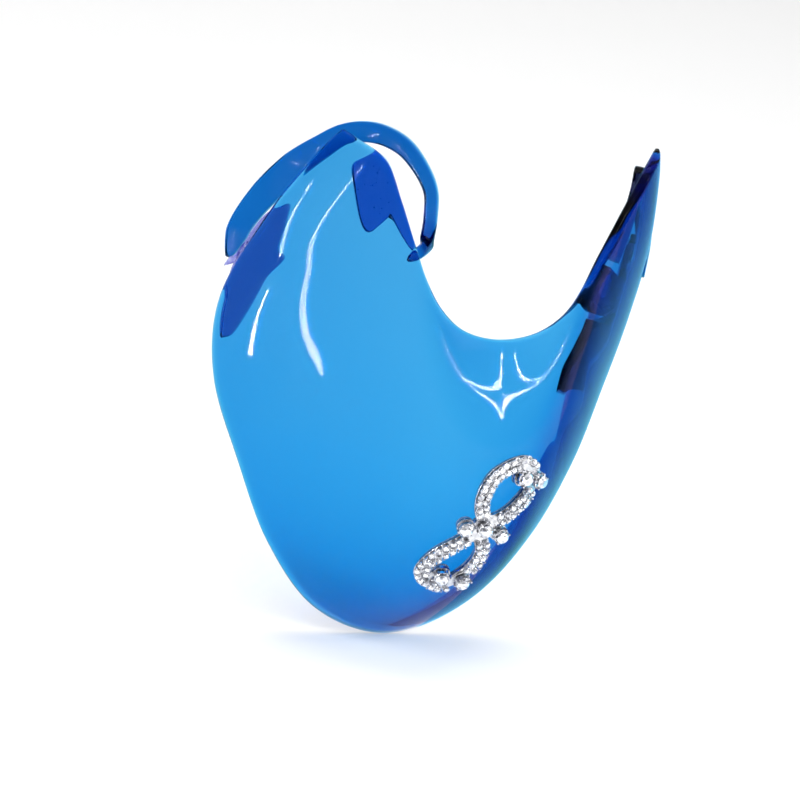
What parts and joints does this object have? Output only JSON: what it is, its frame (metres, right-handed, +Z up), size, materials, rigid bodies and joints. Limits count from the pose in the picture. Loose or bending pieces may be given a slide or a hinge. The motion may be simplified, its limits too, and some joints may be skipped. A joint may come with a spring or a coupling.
{
  "type": "cheek retractor",
  "caption": "Domed clear blue lip-and-cheek retractor shield with a U-shaped relief, two horns with bonded loops, and a rhinestone bow.",
  "frame": {"origin": "middle of the bounding box", "axes": "X across the face, -Y out of the mouth towards the viewer, +Z up from chin to horns"},
  "size_m": [0.1128, 0.0518, 0.128],
  "materials": {
    "acrylic": "polished clear blue",
    "acrylic_deep": "polished clear blue, seen through its thickness",
    "bond": "solvent bond with small bubbles",
    "adhesive": "clear adhesive",
    "plated": "bright silver plate",
    "crystal": "foiled cut glass"
  },
  "bodies": {
    "root": {"front_shield": "acrylic", "left_loop": "acrylic_deep", "right_loop": "acrylic_deep", "left_lug_plate": "acrylic_deep", "left_loop_tab": "acrylic_deep", "left_bond_pad": "bond", "right_lug_plate": "acrylic_deep", "right_loop_tab": "acrylic_deep", "right_bond_pad": "bond", "bow_adhesive": "adhesive", "bow_backing": "plated", "bow_upper_outer_row_1": "crystal", "bow_upper_outer_row_2": "crystal", "bow_upper_inner_row_1": "crystal", "bow_upper_inner_row_2": "crystal", "bow_lower_outer_row_1": "crystal", "bow_lower_outer_row_2": "crystal", "bow_lower_inner_row_1": "crystal", "bow_lower_inner_row_2": "crystal", "cup_upper_end": "plated", "stone_upper_end": "crystal", "cup_upper_inner": "plated", "stone_upper_inner": "crystal", "cup_knot_left": "plated", "stone_knot_left": "crystal", "cup_knot_right": "plated", "stone_knot_right": "crystal", "cup_knot_centre": "plated", "stone_knot_centre": "crystal", "cup_lower_inner": "plated", "stone_lower_inner": "crystal", "cup_lower_end": "plated", "stone_lower_end": "crystal"}
  },
  "joints": []
}
